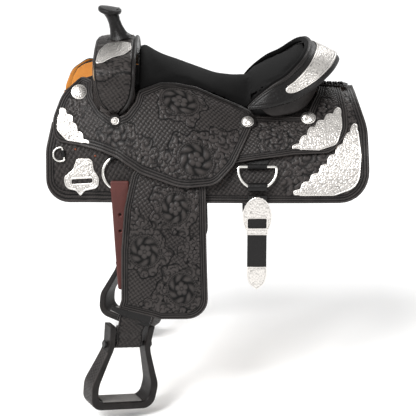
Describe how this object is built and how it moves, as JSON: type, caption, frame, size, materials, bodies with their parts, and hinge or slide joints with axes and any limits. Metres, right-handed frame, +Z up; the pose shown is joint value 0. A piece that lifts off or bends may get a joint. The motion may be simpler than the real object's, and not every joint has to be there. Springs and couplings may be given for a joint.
{
  "type": "western saddle",
  "caption": "Western show saddle: horn, padded seat, broad skirts, silver plates, and hanging fenders with stirrups that swing, turn and tilt.",
  "frame": {"origin": "crest of the channel under the skirts, midway along them, where a rack or a horse's back goes", "axes": "+X from horn to cantle, -Y near (left) side, +Z up"},
  "size_m": [0.7311, 0.641, 0.901],
  "materials": {
    "black_leather": "black tooled leather, satin",
    "latigo_leather": "dark oxblood latigo leather, satin",
    "seat_suede": "black suede, matte",
    "fleece": "natural fleece, matte",
    "tree_wood": "rawhide-covered wood, satin",
    "steel_core": "plain steel",
    "engraved_silver": "engraved silver with dark antiquing, satin",
    "steel_hardware": "polished nickel-plated steel"
  },
  "bodies": {
    "saddle": {"near_bar": "tree_wood", "off_bar": "tree_wood", "fork": "tree_wood", "horn_post": "steel_core", "horn_wrap": "black_leather", "horn_cap": "black_leather", "cantle_board": "tree_wood", "ground_seat": "black_leather", "swell_cover": "black_leather", "seat_pad": "seat_suede", "cantle_back": "black_leather", "cheyenne_roll": "black_leather", "cantle_plate": "engraved_silver", "near_skirt": "black_leather", "off_skirt": "black_leather", "near_fleece": "fleece", "off_fleece": "fleece", "near_seat_jockey": "black_leather", "off_seat_jockey": "black_leather", "near_rear_jockey": "black_leather", "off_rear_jockey": "black_leather", "spine_lacing": "black_leather", "conchos": "engraved_silver", "front_jockey_plates": "engraved_silver", "rear_jockey_plates": "engraved_silver", "skirt_plates": "engraved_silver", "swell_plates": "engraved_silver", "latigo_keepers": "engraved_silver", "front_rings": "steel_hardware", "near_rigging": "black_leather", "off_rigging": "black_leather"},
    "near_leather": {"near_upper_leather": "black_leather"},
    "near_fender": {"near_fender": "black_leather", "near_stirrup_leather": "black_leather", "near_hobble_strap": "black_leather", "near_length_buckle": "steel_hardware"},
    "near_sleeve": {"near_buckle_sleeve": "steel_hardware"},
    "near_neck": {"near_neck_loop": "black_leather"},
    "near_stirrup": {"near_stirrup": "black_leather", "near_stirrup_bolt": "steel_hardware"},
    "near_latigo": {"near_latigo": "latigo_leather"},
    "near_dee": {"near_rear_dee": "steel_hardware"},
    "near_billet": {"near_flank_billet": "black_leather", "near_billet_silver": "engraved_silver"},
    "near_breast_dee": {"near_breast_dee": "steel_hardware"},
    "off_leather": {"off_upper_leather": "black_leather"},
    "off_fender": {"off_fender": "black_leather", "off_stirrup_leather": "black_leather", "off_hobble_strap": "black_leather", "off_length_buckle": "steel_hardware"},
    "off_sleeve": {"off_buckle_sleeve": "steel_hardware"},
    "off_neck": {"off_neck_loop": "black_leather"},
    "off_stirrup": {"off_stirrup": "black_leather", "off_stirrup_bolt": "steel_hardware"},
    "off_billet_strap": {"off_billet": "latigo_leather"},
    "off_dee": {"off_rear_dee": "steel_hardware"},
    "off_billet": {"off_flank_billet": "black_leather", "off_billet_silver": "engraved_silver"},
    "off_breast_dee": {"off_breast_dee": "steel_hardware"}
  },
  "joints": [
    {"name": "near_leather_swing", "type": "hinge", "parent": "saddle", "child": "near_leather", "pos_m": [-0.1, -0.1871, -0.05], "axis": [0, -0.9397, 0.342], "range_deg": [-20, 12]},
    {"name": "near_fender_lift", "type": "hinge", "parent": "near_leather", "child": "near_fender", "pos_m": [-0.1, -0.24243, -0.1955], "axis": [-1, 0, 0], "range_deg": [0, 75]},
    {"name": "near_sleeve_slide", "type": "slide", "parent": "near_fender", "child": "near_sleeve", "axis": [0.276, 0, 0.9612], "range_m": [0, 0.035]},
    {"name": "near_stirrup_turn", "type": "hinge", "parent": "near_fender", "child": "near_neck", "pos_m": [-0.187, -0.248, -0.531], "axis": [0.1533, 0.0815, 0.9848], "range_deg": [-28, 45]},
    {"name": "near_stirrup_tilt", "type": "hinge", "parent": "near_neck", "child": "near_stirrup", "pos_m": [-0.187, -0.248, -0.531], "axis": [-0.8695, -0.4623, 0.1736], "range_deg": [-45, 45]},
    {"name": "near_latigo_swing", "type": "hinge", "parent": "saddle", "child": "near_latigo", "pos_m": [-0.199, -0.2047, -0.132], "axis": [0, -0.9627, 0.2706], "range_deg": [-12, 8]},
    {"name": "near_dee_lift", "type": "hinge", "parent": "saddle", "child": "near_dee", "pos_m": [0.111, -0.2115, -0.116], "axis": [-1, 0, 0], "range_deg": [0, 60]},
    {"name": "near_billet_swing", "type": "hinge", "parent": "near_dee", "child": "near_billet", "pos_m": [0.111, -0.23348, -0.15751], "axis": [-1, 0, 0], "range_deg": [0, 60]},
    {"name": "near_breast_dee_turn", "type": "hinge", "parent": "saddle", "child": "near_breast_dee", "pos_m": [-0.3275, -0.1866, -0.0925], "axis": [-0.198, 0.2998, 0.9332], "range_deg": [0, 90]},
    {"name": "off_leather_swing", "type": "hinge", "parent": "saddle", "child": "off_leather", "pos_m": [-0.1, 0.1871, -0.05], "axis": [0, -0.9397, -0.342], "range_deg": [-20, 12]},
    {"name": "off_fender_lift", "type": "hinge", "parent": "off_leather", "child": "off_fender", "pos_m": [-0.1, 0.24243, -0.1955], "axis": [1, 0, 0], "range_deg": [0, 75]},
    {"name": "off_sleeve_slide", "type": "slide", "parent": "off_fender", "child": "off_sleeve", "axis": [0.276, 0, 0.9612], "range_m": [0, 0.035]},
    {"name": "off_stirrup_turn", "type": "hinge", "parent": "off_fender", "child": "off_neck", "pos_m": [-0.187, 0.248, -0.531], "axis": [-0.1533, 0.0815, -0.9848], "range_deg": [-28, 45]},
    {"name": "off_stirrup_tilt", "type": "hinge", "parent": "off_neck", "child": "off_stirrup", "pos_m": [-0.187, 0.248, -0.531], "axis": [0.8695, -0.4623, -0.1736], "range_deg": [-45, 45]},
    {"name": "off_billet_strap_swing", "type": "hinge", "parent": "saddle", "child": "off_billet_strap", "pos_m": [-0.199, 0.2047, -0.132], "axis": [0, -0.9627, -0.2706], "range_deg": [-12, 8]},
    {"name": "off_dee_lift", "type": "hinge", "parent": "saddle", "child": "off_dee", "pos_m": [0.111, 0.2115, -0.116], "axis": [1, 0, 0], "range_deg": [0, 60]},
    {"name": "off_billet_swing", "type": "hinge", "parent": "off_dee", "child": "off_billet", "pos_m": [0.111, 0.23348, -0.15751], "axis": [1, 0, 0], "range_deg": [0, 60]},
    {"name": "off_breast_dee_turn", "type": "hinge", "parent": "saddle", "child": "off_breast_dee", "pos_m": [-0.3275, 0.1866, -0.0925], "axis": [0.198, 0.2998, -0.9332], "range_deg": [0, 90]}
  ]
}
